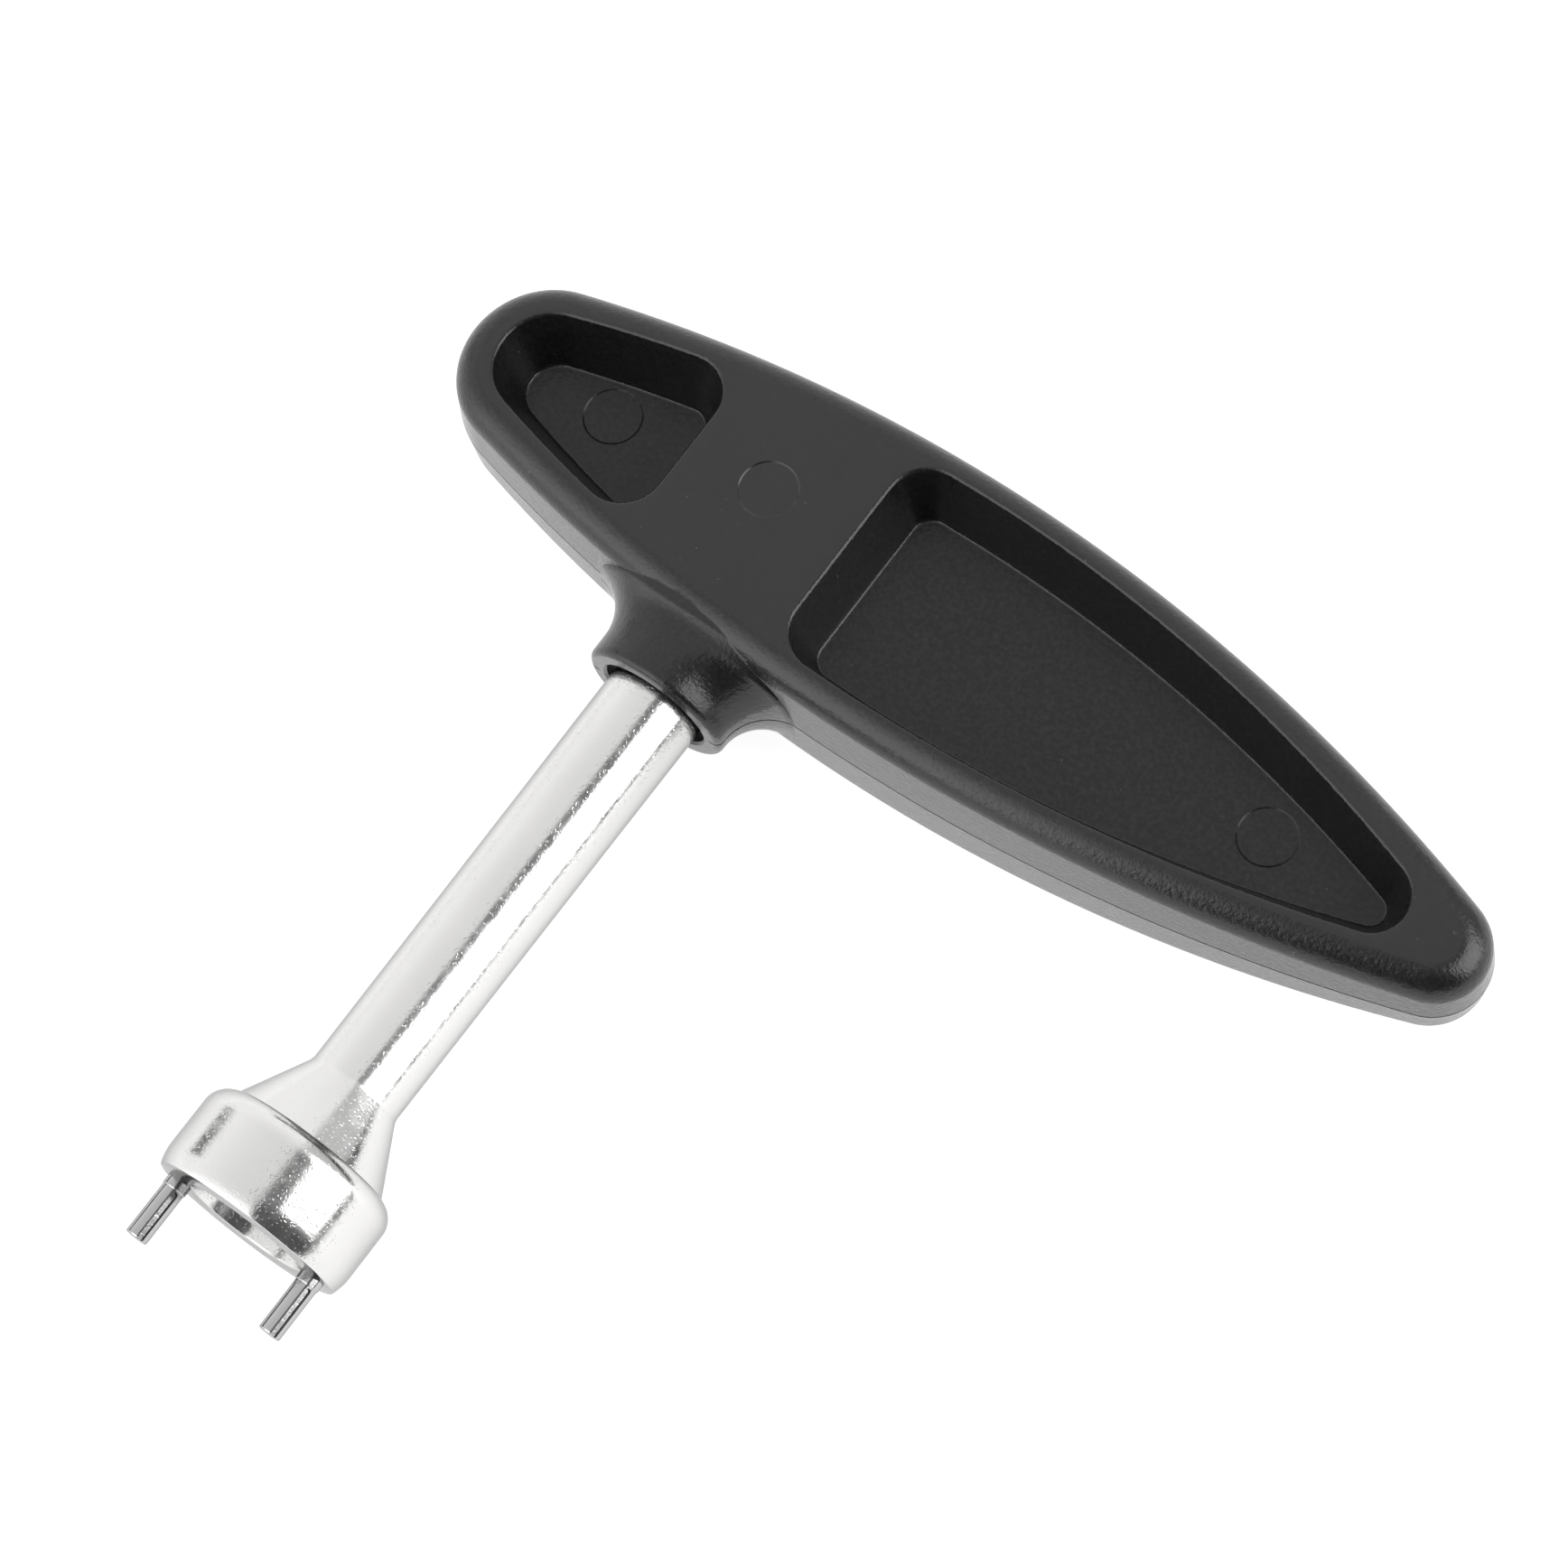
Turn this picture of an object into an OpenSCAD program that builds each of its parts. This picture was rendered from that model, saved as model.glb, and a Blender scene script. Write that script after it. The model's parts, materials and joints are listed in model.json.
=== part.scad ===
// Two-pin T-handle wrench: a hollow moulded handle in two halves, a plated steel
// shank with a cup-shaped head, and two pins that stand out of the cup's rim.
// The origin is the middle of the two pins on the rim. X runs along the handle,
// Y up the shank, and Z out of the handle's front face.

/* [Handle outline] */
// Distance from the cup's rim to the handle's centre line
handle_y = 82.85; // [75:0.05:100]
// Where the handle is widest, measured from the shank's axis
widest_x = 16.75; // [14:0.05:20]
// Half of the handle's greatest width
handle_half_w = 14.7; // [14:0.05:16]
// Radius of the long curve towards the short end
short_curve_r = 190; // [180:1:200]
// Radius of the round short end
short_end_r = 9.2; // [8.5:0.1:9.8]
// Radius of the long curve towards the tip
long_curve_r = 193; // [180:1:200]
// Radius of the round tip
tip_r = 5.8; // [5.4:0.1:6.4]

/* [Handle section] */
// Half of the handle's thickness where it is thickest
half_t = 9.08; // [8.5:0.02:10]
// Where the handle is thickest, measured from the shank's axis
crown_x = 14; // [8:1:20]
// Radius of the crowned front and rear faces, seen from the side
crown_r = 600; // [550:10:800]
// Radius of the rounded outer edge
edge_r = 3; // [2:0.1:3.4]
// How far the side walls lean inwards below the rounded edge
side_draft = 0.25; // [0.1:0.05:0.4]
// Height of the open seam between the two halves
seam_gap = 0.14; // [0.08:0.02:0.2]
// Depth of the open seam
seam_depth = 0.6; // [0.3:0.1:0.8]

/* [Pockets] */
// Half of the greatest width of the pockets
pocket_half_w = 11.55; // [11:0.05:12]
// Radius of the small pocket's long curve
small_pocket_curve_r = 163.55; // [155:0.05:170]
// Radius of the small pocket's round end
small_pocket_end_r = 5.45; // [5:0.05:6]
// Radius of the large pocket's long curve
large_pocket_curve_r = 166.55; // [160:0.05:172]
// Radius of the large pocket's round end
large_pocket_end_r = 3.65; // [3.4:0.05:4.2]
// Place of the large pocket's straight wall
large_wall_x = 8.38; // [7.5:0.02:9]
// Place of the small pocket's straight wall
small_wall_x = -10.41; // [-11:0.01:-9.5]
// Radius of the corners beside the straight walls
pocket_corner_r = 4.05; // [3.6:0.05:4.6]
// Height of the large pocket's floor above the middle plane
large_floor_z = 1.9; // [1.5:0.1:2.5]
// Height of the small pocket's floor above the middle plane
small_floor_z = 0.9; // [0.8:0.1:2]
// Slope of the pocket walls, as run over rise
wall_draft = 0.27; // [0.15:0.01:0.3]
// Radius between a pocket's wall and its floor
floor_fillet_r = 0.6; // [0.4:0.1:1.5]
// Radius of the pocket's rim
rim_r = 0.5; // [0.2:0.1:0.6]

/* [Boss] */
// Distance from the cup's rim to the end face of the boss
boss_y = 62.4; // [60:0.1:64]
// Outer radius of the boss
boss_r = 7.7; // [7.2:0.1:8]
// Radius of the curve from the boss into the handle
flare_r = 5; // [4:0.5:5]
// Where that curve starts on the side towards the tip, above the end face
flare_start_tip = 0.8; // [0.4:0.1:1.5]
// Where it starts on the side towards the short end
flare_start_short = 2.6; // [1.5:0.1:3]
// Where it starts on the front and the rear
flare_start_front = 3.5; // [2.5:0.1:4]
// Radius of the rounded lip of the boss
boss_lip_r = 0.7; // [0.4:0.1:0.9]
// Radius of the recess round the shank in the end face
boss_recess_r = 5.7; // [5.4:0.1:6]
// Depth of that recess
boss_recess_depth = 1.2; // [0.8:0.1:2]

/* [Shank] */
// Radius of the shank where it enters the boss
shank_r = 5; // [4.9:0.02:5.1]
// Radius of the shank where it meets the cone
shank_neck_r = 4.8; // [4.7:0.02:4.9]
// Distance from the cup's rim to the buried end of the shank
shank_end_y = 92.5; // [90:0.5:93.5]
// Where the two flats of the buried tang start
tang_y = 78; // [76:0.5:80]
// Half of the thickness across the flats
tang_half_t = 3.6; // [3.4:0.1:4]
// Where the moulded peg passes through the tang
peg_y = 85.5; // [84:0.5:87]
// Radius of the hole through the tang
peg_hole_r = 2; // [1.8:0.1:2.2]

/* [Cup head] */
// Outer radius of the cup
cup_r = 10.27; // [9.9:0.01:10.6]
// Radius of the curve that draws the cup's side in towards the rim
rim_curve_r = 6; // [4:0.5:10]
// Height of that curve
rim_curve_h = 2.2; // [1.5:0.1:3]
// Radius of the bore in the cup
bore_r = 6.37; // [6:0.01:6.6]
// Depth of the bore in the cup
bore_depth = 7.5; // [6:0.5:8]
// Bevel at the mouth of the bore
bore_bevel = 0.3; // [0.1:0.05:0.5]
// Height of the cup, up to the top of its rounded shoulder
cup_h = 9.45; // [9:0.05:10]
// Radius of the rounded shoulder
shoulder_round_r = 2.4; // [1.5:0.1:3]
// Radius of the foot of the cone
cone_foot_r = 8.3; // [8:0.05:8.8]
// Height of the top of the cone
cone_top_y = 16.1; // [15:0.1:18]

/* [Pins] */
// Distance between the two pins
pin_spacing = 15.7; // [15.4:0.1:16.2]
// Radius of a pin
pin_r = 1.15; // [1.1:0.01:1.2]
// How far a pin stands out of the rim
pin_len = 6.5; // [5:0.1:8]
// Radius of the part of a pin that is pressed into the rim
pin_seat_r = 1.1; // [1:0.01:1.14]
// How deep a pin is pressed into the rim
pin_seat = 5.5; // [4:0.5:6]
// Length of the plain root of a pin, which the groove stops short of
pin_root_len = 0.9; // [0.6:0.1:1.2]
// Width of the groove along a pin
groove_w = 0.66; // [0.5:0.02:0.8]
// Depth of the groove
groove_depth = 0.35; // [0.2:0.05:0.5]
// Turn of the groove from the front towards the tip of the handle
groove_turn = 40; // [0:5:90]

/* [Hidden] */

$fn = 96;
end_steps = 7;            // steps round each end of the handle
curve_steps = 9;          // steps along each long curve
edge_steps = 5;           // steps round the handle's outer edge
corner_steps = 4;         // steps round a pocket's corner
rounding_steps = 3;       // steps round a small fillet
boss_steps = 20;          // steps round half of the boss
lip_steps = 3;            // steps round the lip of the boss
clear = 0.05;             // moulding clearance of pegs in their sockets
over = 1;                 // how far a cutter runs past the face it cuts
rise_over_flare = 0.09;   // rise of the boss's front for each mm that it spreads
first_ring = 1.6;         // where the boss starts to be lofted, above its end face
ring_step = 0.8;          // distance between the rings of the boss
last_ring = 8;            // where the boss ends inside the handle

peg_r = peg_hole_r - clear;
peg_reach = tang_half_t + 2.5; // length of the moulded peg to each side of the middle plane
locator_r = 1.1;          // socket radius of the pegs that line the halves up
locator_h = 3;            // length of those pegs
locators = [[-7.6, 76], [7.4, 90.5], [76.3, handle_y]];

// --- curves -----------------------------------------------------------------

// Half of the handle's thickness at x
function crown(x) = half_t - crown_r + sqrt(pow(crown_r, 2) - pow(x - crown_x, 2));

// Points on an arc, from angle a0 to angle a1 in the given number of steps
function arc(cx, cy, r, a0, a1, steps) =
    [for (i = [0:steps]) [cx + r * cos(a0 + (a1 - a0) * i / steps),
                          cy + r * sin(a0 + (a1 - a0) * i / steps)]];

function but_first(v) = [for (i = [1:len(v) - 1]) v[i]];
function flip_x(v) = [for (i = [len(v) - 1:-1:0]) [2 * widest_x - v[i][0], v[i][1]]];

// How far from the widest place the centre of a round end lies, when an arc of
// radius end_r touches the inside of a long curve of radius curve_r
function end_run(half_w, curve_r, end_r) =
    sqrt(pow(curve_r - end_r, 2) - pow(curve_r - half_w, 2));

// One side of an outline, from its widest place to its round end on the right,
// as [x, half-width], moved inwards by d
function right_side(half_w, curve_r, end_r, d) =
    let (run = end_run(half_w, curve_r, end_r),
         join = atan2(curve_r - half_w, run))
    concat(arc(widest_x, half_w - curve_r, curve_r - d, 90, join, curve_steps),
           but_first(arc(widest_x + run, 0, end_r - d, join, 0, end_steps)));

// The straight wall's corner and the curve on to the widest place or beyond it,
// for a wall at distance wall to the left of the widest place
function corner_side(half_w, curve_r, wall, d) =
    let (cx = widest_x - wall + pocket_corner_r,
         rise = sqrt(pow(curve_r - pocket_corner_r, 2) - pow(cx - widest_x, 2)),
         join = atan2(rise, cx - widest_x))
    concat(arc(cx, half_w - curve_r + rise, pocket_corner_r - d, 180, join, corner_steps));

function handle_side(d) =
    concat(flip_x(right_side(handle_half_w, short_curve_r, short_end_r, d)),
           but_first(right_side(handle_half_w, long_curve_r, tip_r, d)));

function large_pocket_side(d) =
    concat(corner_side(pocket_half_w, small_pocket_curve_r, widest_x - large_wall_x, d),
           right_side(pocket_half_w, large_pocket_curve_r, large_pocket_end_r, d));

// The small pocket is worked out as if it lay on the right, then flipped
function small_pocket_side(d) =
    let (wall = widest_x - small_wall_x,
         cx = widest_x + wall + pocket_corner_r,
         curve_r = small_pocket_curve_r,
         low_y = pocket_half_w - curve_r,
         rise = sqrt(pow(curve_r - pocket_corner_r, 2) - pow(cx - widest_x, 2)),
         start = atan2(rise, cx - widest_x),
         run = end_run(pocket_half_w, curve_r, small_pocket_end_r),
         join = atan2(-low_y, run))
    flip_x(concat(arc(cx, low_y + rise, pocket_corner_r - d, 180, start, corner_steps),
                  but_first(arc(widest_x, low_y, curve_r - d, start, join, curve_steps)),
                  but_first(arc(widest_x + run, 0, small_pocket_end_r - d, join, 0, end_steps))));

// --- lofting ----------------------------------------------------------------

// A closed outline from one side: out along the far side, back along the near one
function both_sides(side) =
    let (last = len(side) - 1)
    concat([for (p = side) [p[0], handle_y + p[1]]],
           [for (i = [last:-1:0]) if (abs(side[i][1]) > 0.001) [side[i][0], handle_y - side[i][1]]]);

function lift(outline, z) = [for (p = outline) [p[0], p[1], z]];
function lift_under_crown(outline, drop) = [for (p = outline) [p[0], p[1], crown(p[0]) - drop]];

// A solid through rings of equal length; each ring runs clockwise seen from the
// last one, and the last ring is closed by strips when it isn't flat
module loft(rings, strip_end = false) {
    n = len(rings[0]);
    last = (len(rings) - 1) * n;
    sides = [for (k = [0:len(rings) - 2], i = [0:n - 1])
        [k * n + i, k * n + (i + 1) % n, (k + 1) * n + (i + 1) % n, (k + 1) * n + i]];
    start = [[for (i = [n - 1:-1:0]) i]];
    strips = concat([[last, last + 1, last + n - 1]],
                    [for (i = [1:n / 2 - 2]) [last + i, last + i + 1, last + n - i - 1, last + n - i]],
                    [[last + n / 2 - 1, last + n / 2, last + n / 2 + 1]]);
    flat = [[for (i = [0:n - 1]) last + i]];
    polyhedron(points = [for (ring = rings, p = ring) p],
               faces = concat(start, sides, strip_end ? strips : flat),
               convexity = 4);
}

// --- handle -----------------------------------------------------------------

module handle_shell() {
    slot = both_sides(handle_side(seam_depth));
    foot = both_sides(handle_side(0));
    loft(concat(
        [lift(slot, 0), lift(slot, seam_gap / 2), lift(foot, seam_gap / 2)],
        [for (i = [0:edge_steps])
            let (a = 90 * i / edge_steps)
            lift_under_crown(both_sides(handle_side(side_draft + edge_r * (1 - cos(a)))),
                             edge_r * (1 - sin(a)))]),
        strip_end = true);
}

// Half of the boss: a half-round section that spreads into the handle's side,
// sooner on the long side of the handle than on the short one
function flare(y, start_y) =
    let (t = min(max(y - start_y, 0), 0.99 * flare_r))
    flare_r - sqrt(pow(flare_r, 2) - pow(t, 2));

function boss_ring(y, shrink) =
    let (to_tip = boss_r - shrink + flare(y, boss_y + flare_start_tip),
         to_short_end = boss_r - shrink + flare(y, boss_y + flare_start_short),
         up = boss_r - shrink + rise_over_flare * flare(y, boss_y + flare_start_front))
    [for (i = [0:boss_steps])
        let (a = 180 * i / boss_steps, side = a < 90 ? to_tip : to_short_end)
        [side * cos(a), y, up * sin(a)]];

module boss_half() {
    lip = [for (i = [0:lip_steps])
        let (a = 90 * i / lip_steps)
        [boss_y + boss_lip_r * (1 - cos(a)), boss_lip_r * (1 - sin(a))]];
    spread = [for (y = [first_ring:ring_step:last_ring]) [boss_y + y, 0]];
    loft([for (s = concat(lip, spread)) boss_ring(s[0], s[1])]);
}

// A pocket cutter: rounded rim, sloping wall, filleted corner and flat floor
module pocket(side, floor_z) {
    run = (half_t - floor_z - floor_fillet_r) * wall_draft;
    function outline(d) = both_sides(side == "large" ? large_pocket_side(d) : small_pocket_side(d));
    loft(concat(
        [for (i = [0:rounding_steps])
            let (a = 90 * i / rounding_steps)
            lift(outline(run + floor_fillet_r * (1 - sin(a))), floor_z + floor_fillet_r * (1 - cos(a)))],
        [for (i = [0:rounding_steps])
            let (a = 90 * i / rounding_steps)
            lift_under_crown(outline(-rim_r * (1 - cos(a))), rim_r * (1 - sin(a)))],
        [lift(outline(-rim_r), half_t + over)]));
}

// The part of the shank that the handle holds: round, then a tang with two flats
module buried_shank() {
    intersection() {
        translate([0, boss_y - over, 0]) rotate([-90, 0, 0])
            cylinder(r = shank_r, h = shank_end_y - boss_y + over);
        union() {
            translate([-shank_r - over, boss_y - over, -shank_r - over])
                cube([2 * (shank_r + over), tang_y - boss_y + over, 2 * (shank_r + over)]);
            translate([-shank_r - over, boss_y - over, -tang_half_t])
                cube([2 * (shank_r + over), shank_end_y - boss_y + 2 * over, 2 * tang_half_t]);
        }
    }
}

// One half of the handle without its pegs
module handle_half() {
    difference() {
        union() {
            handle_shell();
            boss_half();
        }
        pocket("large", large_floor_z);
        pocket("small", small_floor_z);
        buried_shank();
        translate([0, boss_y - over, 0]) rotate([-90, 0, 0])
            cylinder(r = boss_recess_r, h = boss_recess_depth + over);
    }
}

module handle_front_half() {
    color("#26262a") {
        handle_half();
        translate([0, peg_y, -peg_reach]) cylinder(r = peg_r, h = peg_reach + tang_half_t);
        for (p = locators)
            translate([p[0], p[1], -locator_h]) cylinder(r = locator_r - clear, h = locator_h);
    }
}

module handle_rear_half() {
    color("#202024") difference() {
        mirror([0, 0, 1]) handle_half();
        translate([0, peg_y, -peg_reach - clear]) cylinder(r = peg_hole_r, h = peg_reach);
        for (p = locators)
            translate([p[0], p[1], -locator_h - clear]) cylinder(r = locator_r, h = locator_h + over);
    }
}

// --- metal ------------------------------------------------------------------

// Half of the turned outline of the head and the free shank, as [radius, height]
function head_profile() =
    let (shoulder_x = cup_r - shoulder_round_r,
         foot_turn = acos((cone_foot_r - shoulder_x) / shoulder_round_r))
    concat([[0, bore_depth], [bore_r, bore_depth], [bore_r, bore_bevel], [bore_r + bore_bevel, 0]],
           arc(cup_r - rim_curve_r, rim_curve_h, rim_curve_r, -asin(rim_curve_h / rim_curve_r), 0, 4),
           arc(shoulder_x, cup_h - shoulder_round_r, shoulder_round_r, 0, foot_turn, 6),
           [[shank_neck_r, cone_top_y], [shank_r, boss_y - over], [0, boss_y - over]]);

module driver_shank() {
    color("#c8c8cc") difference() {
        union() {
            rotate([-90, 0, 0]) mirror([0, 1, 0]) rotate_extrude() polygon(head_profile());
            buried_shank();
        }
        translate([0, peg_y, -shank_r]) cylinder(r = peg_hole_r, h = 2 * shank_r);
        for (side = [-1, 1])
            translate([side * pin_spacing / 2, -over, 0]) rotate([-90, 0, 0])
                cylinder(r = pin_seat_r, h = pin_seat + over);
    }
}

// A pin with a narrower seat and a groove down its free length
module pin() {
    groove_end_y = -pin_root_len - groove_w;
    difference() {
        union() {
            translate([0, -pin_len, 0]) rotate([-90, 0, 0]) cylinder(r = pin_r, h = pin_len);
            rotate([-90, 0, 0]) cylinder(r = pin_seat_r, h = pin_seat);
        }
        rotate([0, groove_turn, 0]) translate([0, 0, pin_r]) {
            translate([-groove_w / 2, -pin_len - over, -groove_depth])
                cube([groove_w, groove_end_y + pin_len + over, 2 * groove_depth]);
            translate([0, groove_end_y, -groove_depth])
                cylinder(r = groove_w / 2, h = 2 * groove_depth);
        }
    }
}

module pin_left() { color("#d4d4d8") translate([-pin_spacing / 2, 0, 0]) pin(); }

module pin_right() { color("#d4d4d8") translate([pin_spacing / 2, 0, 0]) pin(); }

handle_front_half();
handle_rear_half();
driver_shank();
pin_left();
pin_right();
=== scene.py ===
import json
import math

import bmesh
import bpy
from mathutils import Euler, Matrix, Vector


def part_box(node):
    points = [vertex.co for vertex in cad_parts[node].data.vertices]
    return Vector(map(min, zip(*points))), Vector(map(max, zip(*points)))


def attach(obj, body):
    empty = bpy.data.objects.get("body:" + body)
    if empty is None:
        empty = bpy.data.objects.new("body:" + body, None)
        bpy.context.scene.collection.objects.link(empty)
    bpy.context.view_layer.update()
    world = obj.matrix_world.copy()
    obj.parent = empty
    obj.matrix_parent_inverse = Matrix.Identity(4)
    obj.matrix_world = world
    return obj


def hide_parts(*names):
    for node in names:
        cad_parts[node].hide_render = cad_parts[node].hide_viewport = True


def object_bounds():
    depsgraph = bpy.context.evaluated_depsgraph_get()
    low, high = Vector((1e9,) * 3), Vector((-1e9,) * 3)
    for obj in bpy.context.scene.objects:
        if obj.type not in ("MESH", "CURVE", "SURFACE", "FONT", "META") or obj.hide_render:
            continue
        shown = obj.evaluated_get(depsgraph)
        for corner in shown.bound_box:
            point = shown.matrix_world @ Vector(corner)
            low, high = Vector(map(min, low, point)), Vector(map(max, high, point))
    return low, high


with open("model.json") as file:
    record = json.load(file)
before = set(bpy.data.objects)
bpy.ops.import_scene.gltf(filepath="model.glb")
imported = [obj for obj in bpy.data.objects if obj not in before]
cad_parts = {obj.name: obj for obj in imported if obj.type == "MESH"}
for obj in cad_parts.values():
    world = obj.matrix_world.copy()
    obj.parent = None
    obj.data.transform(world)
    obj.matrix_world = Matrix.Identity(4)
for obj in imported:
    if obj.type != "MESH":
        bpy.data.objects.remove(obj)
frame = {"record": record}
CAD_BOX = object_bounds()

# A two-pin T-handle wrench lying on its back. Lengths here are in millimetres until
# they reach a mesh; X runs along the handle, Y up the shank and Z out of its front.
MM = 0.001
RECORD = frame["record"]
MOUNTS = {m["name"]: m for m in RECORD["mounts"]}


def box_mm(node):
    low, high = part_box(node)
    return [c / MM for c in low], [c / MM for c in high]


# --- sizes ------------------------------------------------------------------

HANDLE_HIGH = box_mm("handle_front_half")[1]
SHANK_HIGH = box_mm("driver_shank")[1]
PIN_LOW, PIN_HIGH = box_mm("pin_right")

# handle outline, in plan
HANDLE_Y = 82.85           # the handle's centre line
WIDEST_X = 16.75
HANDLE_HALF_W = 14.7
SHORT_CURVE_R, SHORT_END_R = 190, 9.2
LONG_CURVE_R, TIP_R = 193, 5.8

# handle section
HALF_T = HANDLE_HIGH[2]    # half of the greatest thickness
CROWN_X, CROWN_R = 14, 600
EDGE_R = 3
SIDE_DRAFT = 0.25
SEAM_GAP, SEAM_DEPTH = 0.2, 0.6
SIDE_TOP_Z = 6.5           # the side wall's top, where the rounded edge starts

# pockets
POCKET_HALF_W = 11.55
SMALL_CURVE_R, SMALL_END_R = 163.55, 5.45
LARGE_CURVE_R, LARGE_END_R = 166.55, 3.65
LARGE_WALL_X, SMALL_WALL_X = 8.38, -10.41
CORNER_R = 4.05
LARGE_FLOOR_Z, SMALL_FLOOR_Z = 1.9, 0.9
WALL_DRAFT = 0.27
FLOOR_FILLET_R = 0.35
RIM_R = 0.5

# boss
BOSS_Y, BOSS_R = 62.4, 7.7
FLARE_R, LIP_R = 5, 0.7
BOSS_BODY_START, BOSS_BODY_END, BOSS_BODY_STEP = 1.2, 9.4, 0.2   # from its end face
FLARE_START_TIP, FLARE_START_SHORT, FLARE_START_FRONT = 0.8, 2.6, 5.4
RECESS_R, RECESS_DEPTH, RECESS_BEVEL = 5.7, 1.2, 0.25
BORE_GAP = 0.02            # between the handle and the shank in it
FRONT_FLARE_R, FRONT_RISE = 3, 0.6  # the curve of its front into the handle's edge
SQUARE_START, SQUARE_END = 2, 7   # where its section squares off towards the handle
SQUARE_OFF = 0.16

# metal
SHANK_R, NECK_R = 5, 4.8
SHANK_END_Y = SHANK_HIGH[1]
CUP_R, CUP_H = SHANK_HIGH[0], 9.45
RIM_CURVE_R, RIM_CURVE_H = 6, 2.2
SHOULDER_ROUND_R = 2.4
BORE_R = MOUNTS["cup_bore"]["dims"]["r_mm"]
BORE_DEPTH = 7.5
CONE_FOOT_R, CONE_TOP_Y = 8.3, 16.1
PIN_SPACING = MOUNTS["drive_pins"]["dims"]["pcd_mm"]
PIN_R = MOUNTS["drive_pins"]["dims"]["stud_r_mm"]
PIN_LEN, PIN_SEAT, PIN_SEAT_R = -PIN_LOW[1], PIN_HIGH[1], 1.1
COLLAR_R, COLLAR_LEN = 1.24, 0.9   # the dark band round the root of a pin
GROOVE_W, GROOVE_DEPTH, GROOVE_TURN = 0.66, 0.35, 40

# the angle, in degrees, above which an edge is shaded as sharp
HANDLE_SHARP, SHANK_SHARP, PIN_SHARP = 32, 25, 30

# --- mesh helpers -----------------------------------------------------------


def arc(cx, cy, r, a0, a1, steps):
    """Points on an arc, from angle a0 to a1 in degrees."""
    turns = [math.radians(a0 + (a1 - a0) * i / steps) for i in range(steps + 1)]
    return [(cx + r * math.cos(t), cy + r * math.sin(t)) for t in turns]


def mesh_object(name, points, faces):
    mesh = bpy.data.meshes.new(name)
    mesh.from_pydata([Vector(p) * MM for p in points], [], faces)
    mesh.update()
    obj = bpy.data.objects.new(name, mesh)
    bpy.context.scene.collection.objects.link(obj)
    return obj


def outward(obj):
    """Turns the faces of a closed mesh outwards."""
    bm = bmesh.new()
    bm.from_mesh(obj.data)
    bmesh.ops.recalc_face_normals(bm, faces=bm.faces)
    bm.to_mesh(obj.data)
    bm.free()
    return obj


def loft(name, rings, strip_end=False):
    """A closed solid through rings of equal length; strip_end closes the last ring
    with strips across it, for a ring that isn't flat."""
    n = len(rings[0])
    last = (len(rings) - 1) * n
    faces = [[k * n + i, k * n + (i + 1) % n, (k + 1) * n + (i + 1) % n, (k + 1) * n + i]
             for k in range(len(rings) - 1) for i in range(n)]
    faces.append(list(range(n - 1, -1, -1)))
    if strip_end:
        half = n // 2
        faces.append([last, last + 1, last + n - 1])
        faces += [[last + i, last + i + 1, last + n - i - 1, last + n - i]
                  for i in range(1, half - 1)]
        faces.append([last + half - 1, last + half, last + half + 1])
    else:
        faces.append([last + i for i in range(n)])
    return outward(mesh_object(name, [p for ring in rings for p in ring], faces))


def lathe(name, profile, segments=192):
    """A solid turned about Y from (radius, y) points; it starts and ends on the axis."""
    points, rings = [], []
    for r, y in profile:
        if r < 1e-6:
            rings.append([len(points)])
            points.append((0, y, 0))
        else:
            rings.append(list(range(len(points), len(points) + segments)))
            points += [(r * math.cos(t), y, r * math.sin(t))
                       for t in (2 * math.pi * i / segments for i in range(segments))]
    faces = []
    for a, b in zip(rings, rings[1:]):
        for i in range(segments):
            j = (i + 1) % segments
            corners = [a[i % len(a)], a[j % len(a)], b[j % len(b)], b[i % len(b)]]
            faces.append(list(dict.fromkeys(corners)))
    return outward(mesh_object(name, points, faces))


def combine(obj, tool, operation):
    """Joins tool to obj, or cuts it away, and deletes it."""
    step = obj.modifiers.new("combine", "BOOLEAN")
    step.operation = operation
    step.solver = "EXACT"
    step.object = tool
    bpy.context.view_layer.update()
    made = obj.evaluated_get(bpy.context.evaluated_depsgraph_get())
    mesh = bpy.data.meshes.new_from_object(made)
    obj.modifiers.clear()
    old, obj.data = obj.data, mesh
    mesh.name = obj.name
    bpy.data.meshes.remove(old)
    tool_mesh = tool.data
    bpy.data.objects.remove(tool)
    bpy.data.meshes.remove(tool_mesh)
    return obj


def shade(obj, sharp_angle):
    obj.data.shade_smooth()
    obj.data.set_sharp_from_angle(angle=math.radians(sharp_angle))


# --- handle shape -----------------------------------------------------------

END_STEPS, CURVE_STEPS, EDGE_STEPS = 24, 44, 12
CORNER_STEPS, FILLET_STEPS, BOSS_STEPS = 12, 7, 64


def crown(x):
    """Half of the handle's thickness at x."""
    return HALF_T - CROWN_R + math.sqrt(CROWN_R ** 2 - (x - CROWN_X) ** 2)


def end_run(half_w, curve_r, end_r):
    """How far from the widest place the centre of a round end lies."""
    return math.sqrt((curve_r - end_r) ** 2 - (curve_r - half_w) ** 2)


def right_side(half_w, curve_r, end_r, d):
    """One side of an outline, from its widest place to its right end, as (x, half-width)
    points, moved inwards by d."""
    run = end_run(half_w, curve_r, end_r)
    join = math.degrees(math.atan2(curve_r - half_w, run))
    return (arc(WIDEST_X, half_w - curve_r, curve_r - d, 90, join, CURVE_STEPS)
            + arc(WIDEST_X + run, 0, end_r - d, join, 0, END_STEPS)[1:])


def flip_x(side):
    return [(2 * WIDEST_X - x, w) for x, w in reversed(side)]


def handle_side(d):
    return (flip_x(right_side(HANDLE_HALF_W, SHORT_CURVE_R, SHORT_END_R, d))
            + right_side(HANDLE_HALF_W, LONG_CURVE_R, TIP_R, d)[1:])


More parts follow.
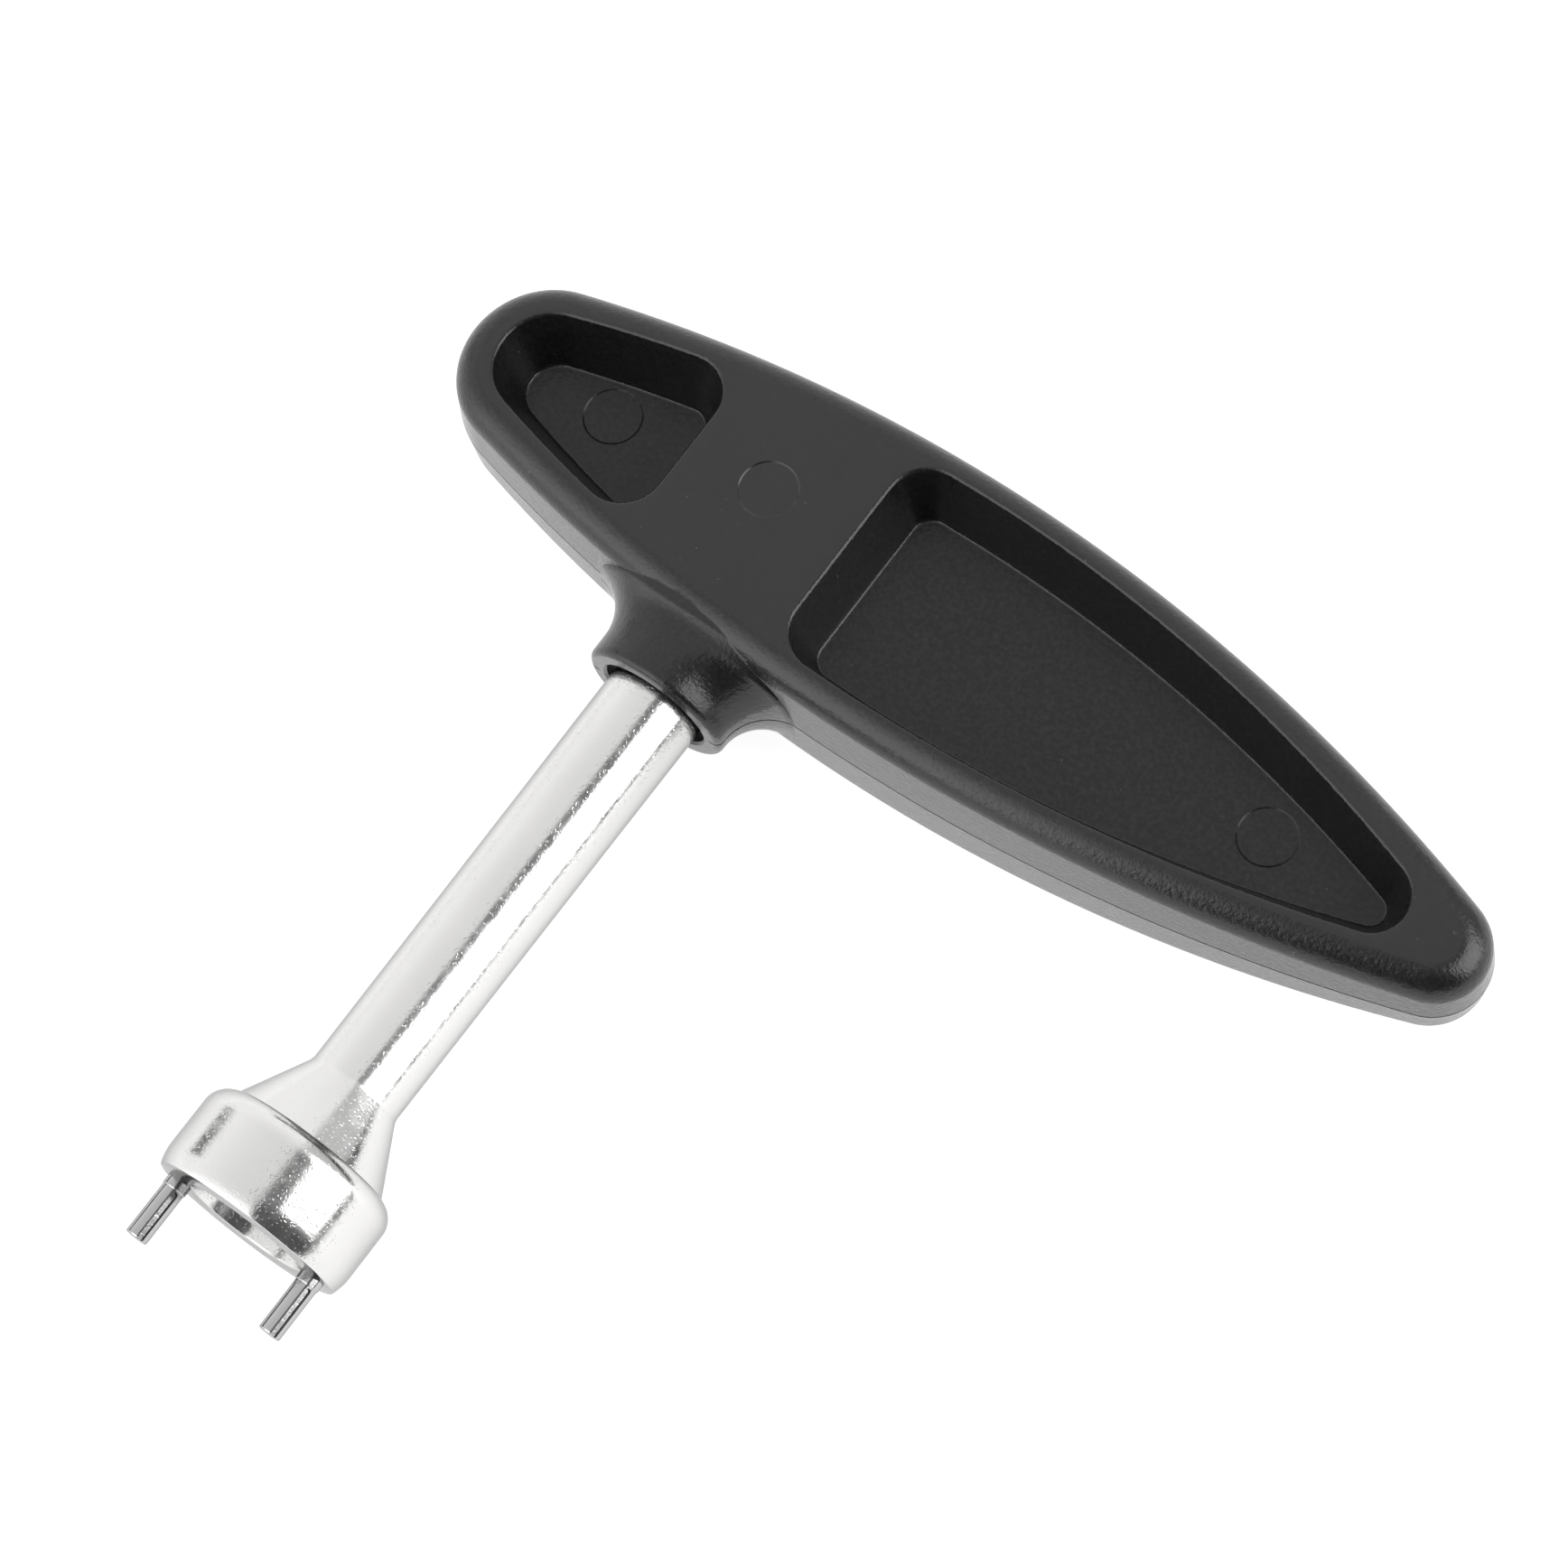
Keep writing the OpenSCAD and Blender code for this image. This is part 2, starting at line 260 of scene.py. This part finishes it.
def large_pocket_side(d):
    centre_x = LARGE_WALL_X + CORNER_R
    low = POCKET_HALF_W - SMALL_CURVE_R
    rise = math.sqrt((SMALL_CURVE_R - CORNER_R) ** 2 - (centre_x - WIDEST_X) ** 2)
    join = math.degrees(math.atan2(rise, centre_x - WIDEST_X))
    return (arc(centre_x, low + rise, CORNER_R - d, 180, join, CORNER_STEPS)
            + right_side(POCKET_HALF_W, LARGE_CURVE_R, LARGE_END_R, d))


def small_pocket_side(d):
    """The small pocket is worked out as if it lay on the right, then flipped."""
    centre_x = 2 * WIDEST_X - SMALL_WALL_X + CORNER_R
    low = POCKET_HALF_W - SMALL_CURVE_R
    rise = math.sqrt((SMALL_CURVE_R - CORNER_R) ** 2 - (centre_x - WIDEST_X) ** 2)
    start = math.degrees(math.atan2(rise, centre_x - WIDEST_X))
    run = end_run(POCKET_HALF_W, SMALL_CURVE_R, SMALL_END_R)
    join = math.degrees(math.atan2(-low, run))
    return flip_x(arc(centre_x, low + rise, CORNER_R - d, 180, start, CORNER_STEPS)
                  + arc(WIDEST_X, low, SMALL_CURVE_R - d, start, join, CURVE_STEPS)[1:]
                  + arc(WIDEST_X + run, 0, SMALL_END_R - d, join, 0, END_STEPS)[1:])


def ring(side, height):
    """A closed outline in plan, at the height that height(x) gives."""
    far = [(x, HANDLE_Y + w, height(x)) for x, w in side]
    near = [(x, HANDLE_Y - w, height(x)) for x, w in reversed(side) if abs(w) > 1e-3]
    return far + near


def handle_shell(name):
    rings = [ring(handle_side(SEAM_DEPTH), lambda x: 0),
             ring(handle_side(SEAM_DEPTH), lambda x: SEAM_GAP / 2),
             ring(handle_side(0), lambda x: SEAM_GAP / 2)]
    for i in range(EDGE_STEPS + 1):
        turn = math.pi / 2 * i / EDGE_STEPS
        drop = EDGE_R * (1 - math.sin(turn))
        side = handle_side(SIDE_DRAFT + EDGE_R * (1 - math.cos(turn)))
        rings.append(ring(side, lambda x, drop=drop: crown(x) - drop))
    return loft(name, rings, strip_end=True)


def pocket(name, side, floor_z):
    run = (HALF_T - floor_z - FLOOR_FILLET_R) * WALL_DRAFT
    rings = []
    for i in range(FILLET_STEPS + 1):
        turn = math.pi / 2 * i / FILLET_STEPS
        z = floor_z + FLOOR_FILLET_R * (1 - math.cos(turn))
        rings.append(ring(side(run + FLOOR_FILLET_R * (1 - math.sin(turn))), lambda x, z=z: z))
    for i in range(FILLET_STEPS + 1):
        turn = math.pi / 2 * i / FILLET_STEPS
        drop = RIM_R * (1 - math.sin(turn))
        rings.append(ring(side(-RIM_R * (1 - math.cos(turn))),
                          lambda x, drop=drop: crown(x) - drop))
    rings.append(ring(side(-RIM_R), lambda x: HALF_T + 1))
    return loft(name, rings)


def flare(y, start_y, radius=FLARE_R):
    t = min(max(y - start_y, 0), 0.99 * radius)
    return radius - math.sqrt(radius ** 2 - t ** 2)


def boss_ring(y, shrink):
    """Round at the end face; towards the handle it widens, rises and squares off."""
    to_tip = BOSS_R - shrink + flare(y, BOSS_Y + FLARE_START_TIP)
    to_short_end = BOSS_R - shrink + flare(y, BOSS_Y + FLARE_START_SHORT)
    up = BOSS_R - shrink + min(flare(y, BOSS_Y + FLARE_START_FRONT, FRONT_FLARE_R), FRONT_RISE)
    along = min(max((y - BOSS_Y - SQUARE_START) / (SQUARE_END - SQUARE_START), 0), 1)
    power = 1 - SQUARE_OFF * along * along * (3 - 2 * along)
    gap = SEAM_GAP / 2
    points = [(to_tip - SEAM_DEPTH, y, 0), (to_tip - SEAM_DEPTH, y, gap)]
    for i in range(BOSS_STEPS + 1):
        turn = math.pi * i / BOSS_STEPS
        reach = to_tip if turn < math.pi / 2 else to_short_end
        across = math.copysign(abs(math.cos(turn)) ** power, math.cos(turn))
        points.append((reach * across, y, gap + (up - gap) * max(math.sin(turn), 0) ** power))
    return points + [(SEAM_DEPTH - to_short_end, y, gap), (SEAM_DEPTH - to_short_end, y, 0)]


def boss(name):
    rings = []
    for i in range(FILLET_STEPS + 1):
        turn = math.pi / 2 * i / FILLET_STEPS
        rings.append(boss_ring(BOSS_Y + LIP_R * (1 - math.cos(turn)),
                               LIP_R * (1 - math.sin(turn))))
    for i in range(round((BOSS_BODY_END - BOSS_BODY_START) / BOSS_BODY_STEP) + 1):
        rings.append(boss_ring(BOSS_Y + BOSS_BODY_START + i * BOSS_BODY_STEP, 0))
    return loft(name, rings)


def mirror_z(obj):
    obj.data.transform(Matrix.Scale(-1, 4, (0, 0, 1)))
    return outward(obj)


def soften_boss(obj):
    """Shades the line where the boss runs into the handle as a small fillet."""
    for edge in obj.data.edges:
        x, y, z = sum((obj.data.vertices[i].co for i in edge.vertices), Vector()) / 2 / MM
        if abs(x) < 15 and BOSS_Y + 2 < y < BOSS_Y + 10 and z > 0.5 and math.hypot(x, z) > 7:
            edge.use_edge_sharp = False


def handle_half(name, front):
    half = handle_shell(name)
    combine(half, boss("boss_cutter"), "UNION")
    combine(half, pocket("large_cutter", large_pocket_side, LARGE_FLOOR_Z), "DIFFERENCE")
    combine(half, pocket("small_cutter", small_pocket_side, SMALL_FLOOR_Z), "DIFFERENCE")
    mouth_r, bore_r, end_y = RECESS_R + RECESS_BEVEL, SHANK_R + BORE_GAP, SHANK_END_Y + 0.5
    recess = [(0, BOSS_Y - 1), (mouth_r, BOSS_Y - 1), (mouth_r, BOSS_Y),
              (RECESS_R, BOSS_Y + RECESS_BEVEL), (RECESS_R, BOSS_Y + RECESS_DEPTH),
              (bore_r, BOSS_Y + RECESS_DEPTH + 0.1), (bore_r, end_y), (0, end_y)]
    combine(half, lathe("recess_cutter", recess), "DIFFERENCE")
    shade(half, HANDLE_SHARP)
    soften_boss(half)
    return half if front else mirror_z(half)


# --- metal shapes -----------------------------------------------------------


def shank_profile():
    edge, floor_edge = 0.3, 0.4
    shoulder_x = CUP_R - SHOULDER_ROUND_R
    foot_turn = math.degrees(math.acos((CONE_FOOT_R - shoulder_x) / SHOULDER_ROUND_R))
    rim_turn = math.degrees(math.asin(RIM_CURVE_H / RIM_CURVE_R))
    rim_curve = arc(CUP_R - RIM_CURVE_R, RIM_CURVE_H, RIM_CURVE_R, -rim_turn, 0, 16)
    return ([(0, BORE_DEPTH), (BORE_R - floor_edge, BORE_DEPTH), (BORE_R, BORE_DEPTH - floor_edge)]
            + [(BORE_R, edge), (BORE_R + edge * 0.3, edge * 0.3), (BORE_R + edge, 0)]
            + [(rim_curve[0][0] - 0.12, 0), (rim_curve[0][0], 0.05)] + rim_curve[1:]
            + arc(shoulder_x, CUP_H - SHOULDER_ROUND_R, SHOULDER_ROUND_R, 0, foot_turn, 20)
            + [(NECK_R + 0.12, CONE_TOP_Y - 0.22), (NECK_R, CONE_TOP_Y + 0.25)]
            + [(SHANK_R, BOSS_Y - 1), (SHANK_R, SHANK_END_Y), (0, SHANK_END_Y)])


def driver_shank(name):
    shank = lathe(name, shank_profile(), 256)
    shade(shank, SHANK_SHARP)
    return shank


def drive_pin(name, x):
    tip = 0.12
    profile = [(0, -PIN_LEN), (PIN_R - tip, -PIN_LEN), (PIN_R, tip - PIN_LEN),
               (PIN_R, -COLLAR_LEN - 0.09), (COLLAR_R, -COLLAR_LEN), (COLLAR_R, 0),
               (PIN_SEAT_R, 0), (PIN_SEAT_R, PIN_SEAT), (0, PIN_SEAT)]
    pin = lathe(name, profile, 96)
    half_w, end_y = GROOVE_W / 2, -COLLAR_LEN - 0.25 - GROOVE_W / 2
    outline = [(-half_w, -PIN_LEN - 1)] + list(reversed(arc(0, end_y, half_w, 0, 180, 16)))
    outline = outline + [(half_w, -PIN_LEN - 1)]
    rings = [[(u, y, z) for u, y in outline] for z in (PIN_R - GROOVE_DEPTH, PIN_R + 1)]
    cutter = loft("groove_cutter", rings)
    cutter.data.transform(Matrix.Rotation(math.radians(GROOVE_TURN), 4, "Y"))
    combine(pin, cutter, "DIFFERENCE")
    pin.data.transform(Matrix.Translation((x * MM, 0, 0)))
    shade(pin, PIN_SHARP)
    return pin


# --- materials --------------------------------------------------------------


def material(name):
    mat = bpy.data.materials.new(name)
    mat.use_nodes = True
    nodes = mat.node_tree.nodes
    return mat, nodes, mat.node_tree.links, nodes["Principled BSDF"]


def object_coordinates(nodes):
    return nodes.new("ShaderNodeTexCoord").outputs["Object"]


def noise(nodes, links, coords, size_mm, detail, rough=0.5):
    node = nodes.new("ShaderNodeTexNoise")
    node.inputs["Scale"].default_value = 1 / (size_mm * MM)
    node.inputs["Detail"].default_value = detail
    node.inputs["Roughness"].default_value = rough
    links.new(coords, node.inputs["Vector"])
    return node.outputs["Fac"]


def spread(nodes, links, value, low, high, out_low, out_high):
    node = nodes.new("ShaderNodeMapRange")
    for socket, number in (("From Min", low), ("From Max", high),
                           ("To Min", out_low), ("To Max", out_high)):
        node.inputs[socket].default_value = number
    links.new(value, node.inputs["Value"])
    return node.outputs["Result"]


def bump(nodes, links, height, strength, distance_mm, normal=None):
    node = nodes.new("ShaderNodeBump")
    node.inputs["Strength"].default_value = strength
    node.inputs["Distance"].default_value = distance_mm * MM
    links.new(height, node.inputs["Height"])
    if normal:
        links.new(normal, node.inputs["Normal"])
    return node.outputs["Normal"]


def blend_colours(nodes, links, fac, a, b):
    node = nodes.new("ShaderNodeMix")
    node.data_type = "RGBA"
    for socket, colour in (("A", a), ("B", b)):
        if isinstance(colour, tuple):
            node.inputs[socket].default_value = (*colour, 1)
        else:
            links.new(colour, node.inputs[socket])
    links.new(fac, node.inputs["Factor"])
    return node.outputs["Result"]


def maths(nodes, links, operation, a, b):
    node = nodes.new("ShaderNodeMath")
    node.operation = operation
    for socket, value in ((0, a), (1, b)):
        if isinstance(value, (int, float)):
            node.inputs[socket].default_value = value
        else:
            links.new(value, node.inputs[socket])
    return node.outputs["Value"]


def ejector_mark(nodes, links, coords, x, y, radius):
    """1 outside the round mark of a mould's ejector, 0 inside it."""
    flat = nodes.new("ShaderNodeVectorMath")
    flat.operation = "MULTIPLY"
    flat.inputs[1].default_value = (1, 1, 0)
    links.new(coords, flat.inputs[0])
    reach = nodes.new("ShaderNodeVectorMath")
    reach.operation = "DISTANCE"
    reach.inputs[1].default_value = (x * MM, y * MM, 0)
    links.new(flat.outputs["Vector"], reach.inputs[0])
    return spread(nodes, links, reach.outputs["Value"],
                  (radius - 0.09) * MM, (radius + 0.09) * MM, 0, 1)


def black_plastic(name, grain_mm, grain_depth_mm, tips, rough, specular, ejector_marks=()):
    """Black moulded ABS; the grain is its spark-eroded texture, whose paler tips are a painted
    sparkle.
    """
    mat, nodes, links, shader = material(name)
    coords = object_coordinates(nodes)
    mottle = noise(nodes, links, coords, 9, 3)
    black = blend_colours(nodes, links, mottle, (0.0045, 0.0045, 0.0048), (0.008, 0.008, 0.0085))
    grain = noise(nodes, links, coords, grain_mm, 3, 0.6)
    # the grain tips are painted paler: a painted sparkle, standing for light that the grain catches
    painted_sparkle = blend_colours(nodes, links, spread(nodes, links, grain, 0.4, 0.72, 0, 1),
                           black, (tips, tips, tips))
    dust = spread(nodes, links, noise(nodes, links, coords, 0.7, 2, 0.7), 0.74, 0.78, 0, 0.7)
    links.new(blend_colours(nodes, links, dust, painted_sparkle, (0.09, 0.09, 0.09)),
              shader.inputs["Base Color"])
    wear = noise(nodes, links, coords, 2.2, 5, 0.6)
    links.new(spread(nodes, links, wear, 0.3, 0.7, rough * 0.88, rough * 1.14),
              shader.inputs["Roughness"])
    shader.inputs["IOR"].default_value = 1.54
    shader.inputs["Specular IOR Level"].default_value = specular
    waves = bump(nodes, links, noise(nodes, links, coords, 6, 2), 1, 0.02)
    normal = bump(nodes, links, grain, 1, grain_depth_mm, waves)
    for x, y, radius in ejector_marks:
        step = ejector_mark(nodes, links, coords, x, y, radius)
        normal = bump(nodes, links, step, 1, 0.12, normal)
    links.new(normal, shader.inputs["Normal"])
    return mat


def bright_metal(name, colour, rough, peel_mm, pit_mm):
    """Bright metal; peel_mm is the depth of its orange peel, pit_mm that of its pits."""
    mat, nodes, links, shader = material(name)
    coords = object_coordinates(nodes)
    shader.inputs["Metallic"].default_value = 1
    shader.inputs["Specular Tint"].default_value = (0.5, 0.5, 0.5, 1)
    tint = noise(nodes, links, coords, 7, 3)
    dim = tuple(c * 0.95 for c in colour)
    links.new(blend_colours(nodes, links, tint, dim, colour), shader.inputs["Base Color"])
    cloud = noise(nodes, links, coords, 1.4, 4, 0.6)
    links.new(spread(nodes, links, cloud, 0.3, 0.7, rough * 0.7, rough * 1.5),
              shader.inputs["Roughness"])
    peel = noise(nodes, links, coords, 0.4, 3, 0.6)
    pit_mask = spread(nodes, links, noise(nodes, links, coords, 0.3, 1), 0.3, 0.4, 0, 1)
    first = bump(nodes, links, peel, 1, peel_mm)
    links.new(bump(nodes, links, pit_mask, 1, pit_mm, first), shader.inputs["Normal"])
    return mat


def paint(obj, *mats):
    obj.data.materials.clear()
    for mat in mats:
        obj.data.materials.append(mat)


GRAINED = black_plastic("black_abs_grained", 0.45, 0.06, 0.013, 0.24, 0.42)
# the outer sides get much paler grain tips: a painted reflection of the bright floor beside the
# handle
SIDES_PAINTED_REFLECTION = black_plastic("black_abs_side_painted_reflection", 0.4, 0.07, 0.05, 0.2, 0.8)
FLOORS = black_plastic("black_abs_pocket_floor", 0.5, 0.05, 0.017, 0.28, 0.3,
                       ((55.4, 83.5, 2.9), (-21, 84, 2.9)))
SMOOTH = black_plastic("black_abs_smooth", 0.9, 0.0015, 0.008, 0.26, 0.48, ((-1.2, 83.7, 2.9),))
PLATING = bright_metal("bright_plating", (0.72, 0.715, 0.71), 0.16, 0.009, 0.009)
PIN_STEEL = bright_metal("polished_pin_steel", (0.46, 0.46, 0.46), 0.12, 0.002, 0.002)

# --- pieces -----------------------------------------------------------------


def finish_handle(obj, side, node):
    """The broad face is smooth, the pocket floors have a duller grain, the outer sides have
    paler grain tips as a painted reflection of the bright floor, and the rest is grained."""
    paint(obj, GRAINED, SMOOTH, FLOORS, SIDES_PAINTED_REFLECTION)
    for face in obj.data.polygons:
        x, z = face.center.x / MM, side * face.center.z / MM
        if side * face.normal.z > 0.99:
            if z > crown(x) - 0.03:
                face.material_index = 1
            elif SMALL_FLOOR_Z - 0.05 < z < LARGE_FLOOR_Z + 0.05:
                face.material_index = 2
        elif abs(face.normal.z) < 0.15 and z < SIDE_TOP_Z:
            face.material_index = 3
    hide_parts(node)
    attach(obj, "root")


def finish_metal(obj, mat, node):
    paint(obj, mat)
    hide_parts(node)
    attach(obj, "root")


finish_handle(handle_half("front_half_shell", True), 1, "handle_front_half")
finish_handle(handle_half("rear_half_shell", False), -1, "handle_rear_half")
finish_metal(driver_shank("plated_shank"), PLATING, "driver_shank")
finish_metal(drive_pin("drive_pin_left", -PIN_SPACING / 2), PIN_STEEL, "pin_left")
finish_metal(drive_pin("drive_pin_right", PIN_SPACING / 2), PIN_STEEL, "pin_right")

# --- camera -----------------------------------------------------------------

CAMERA_AT = (0.13564, -0.04424, 0.40951)   # in metres
CAMERA_TURN = (21.014, 4.735, 36.270)      # in degrees
CAMERA_LENS = 107.92                       # on a sensor 36 mm wide

camera = bpy.data.objects.new("camera", bpy.data.cameras.new("camera"))
camera.data.lens = CAMERA_LENS
camera.data.sensor_width = 36
camera.data.clip_start = 0.01
camera.location = CAMERA_AT
camera.rotation_euler = Euler([math.radians(a) for a in CAMERA_TURN])
bpy.context.scene.collection.objects.link(camera)
bpy.context.scene.camera = camera

# --- floor and light --------------------------------------------------------

FLOOR_HALF = 1.6
floor_z = CAD_BOX[0][2] / MM - 0.05
corners = [(sx * FLOOR_HALF / MM, sy * FLOOR_HALF / MM, floor_z)
           for sx, sy in ((-1, -1), (1, -1), (1, 1), (-1, 1))]
floor = mesh_object("floor", corners, [[0, 1, 2, 3]])
floor_mat, floor_nodes, floor_links, floor_shader = material("pale_floor")
floor_shader.inputs["Roughness"].default_value = 0.8
floor_shader.inputs["Specular IOR Level"].default_value = 0.2
floor_cloud = noise(floor_nodes, floor_links, object_coordinates(floor_nodes), 60, 2)
floor_links.new(blend_colours(floor_nodes, floor_links, floor_cloud,
                              (0.34, 0.34, 0.34), (0.36, 0.36, 0.36)),
                floor_shader.inputs["Base Color"])
floor_shader.inputs["Emission Color"].default_value = (1, 1, 1, 1)
floor_shader.inputs["Emission Strength"].default_value = 0.9
paint(floor, floor_mat)


def area_light(name, direction, distance, width, length, power):
    """A softbox that faces the wrench's middle from the given direction."""
    light = bpy.data.lights.new(name, "AREA")
    light.shape = "RECTANGLE"
    light.size, light.size_y = width, length
    light.energy = power
    obj = bpy.data.objects.new(name, light)
    middle = Vector((0.02, 0.05, 0))
    away = Vector(direction).normalized()
    obj.location = middle + away * distance
    across = Vector((0, 1, 0)).cross(away).normalized()
    along = away.cross(across)
    obj.matrix_world = Matrix((across, along, away)).transposed().to_4x4()
    obj.location = middle + away * distance
    bpy.context.scene.collection.objects.link(obj)
    return obj


area_light("softbox_right", (0.83, 0.42, 0.56), 0.7, 0.64, 0.52, 4)


def direction_part(nodes, links, axis):
    split = nodes.new("ShaderNodeSeparateXYZ")
    links.new(nodes.new("ShaderNodeTexCoord").outputs["Generated"], split.inputs["Vector"])
    return split.outputs[axis]


def between(nodes, links, value, low, high, soft):
    """1 where value lies between low and high, fading to 0 over soft at each end."""
    rise = spread(nodes, links, value, low, low + soft, 0, 1)
    return maths(nodes, links, "MULTIPLY", rise,
                 spread(nodes, links, value, high - soft, high, 1, 0))


def studio_world():
    """A white tent to the left, with a gap low down; on the right it is grey behind and
    dark in front."""
    world = bpy.data.worlds.new("studio")
    world.use_nodes = True
    bpy.context.scene.world = world
    nodes, links = world.node_tree.nodes, world.node_tree.links
    x = direction_part(nodes, links, "X")
    y = direction_part(nodes, links, "Y")
    z = direction_part(nodes, links, "Z")
    turn = maths(nodes, links, "ARCTAN2", x, z)
    right = spread(nodes, links, turn, math.radians(10), math.radians(13), 0, 1)
    right_tone = maths(nodes, links, "ADD", spread(nodes, links, y, -0.16, 0.02, 0.1, 0.22),
                       spread(nodes, links, y, 0.3, 0.6, 0, 0.44))
    gap = maths(nodes, links, "MULTIPLY",
                between(nodes, links, turn, math.radians(-112), math.radians(-70),
                        math.radians(6)),
                between(nodes, links, y, 0.02, 0.15, 0.015))
    tent = maths(nodes, links, "ADD", spread(nodes, links, z, 0.4, 1, 1.2, 0.95),
                 spread(nodes, links, y, -0.85, -0.3, 1.6, 0))
    left_tone = maths(nodes, links, "SUBTRACT", tent, maths(nodes, links, "MULTIPLY", gap, 1.05))
    difference = maths(nodes, links, "SUBTRACT", right_tone, left_tone)
    tone = maths(nodes, links, "ADD", left_tone, maths(nodes, links, "MULTIPLY", right, difference))
    background = nodes["Background"]
    background.inputs["Color"].default_value = (1, 1, 1, 1)
    links.new(tone, background.inputs["Strength"])


studio_world()
bpy.context.scene.view_settings.view_transform = "Standard"
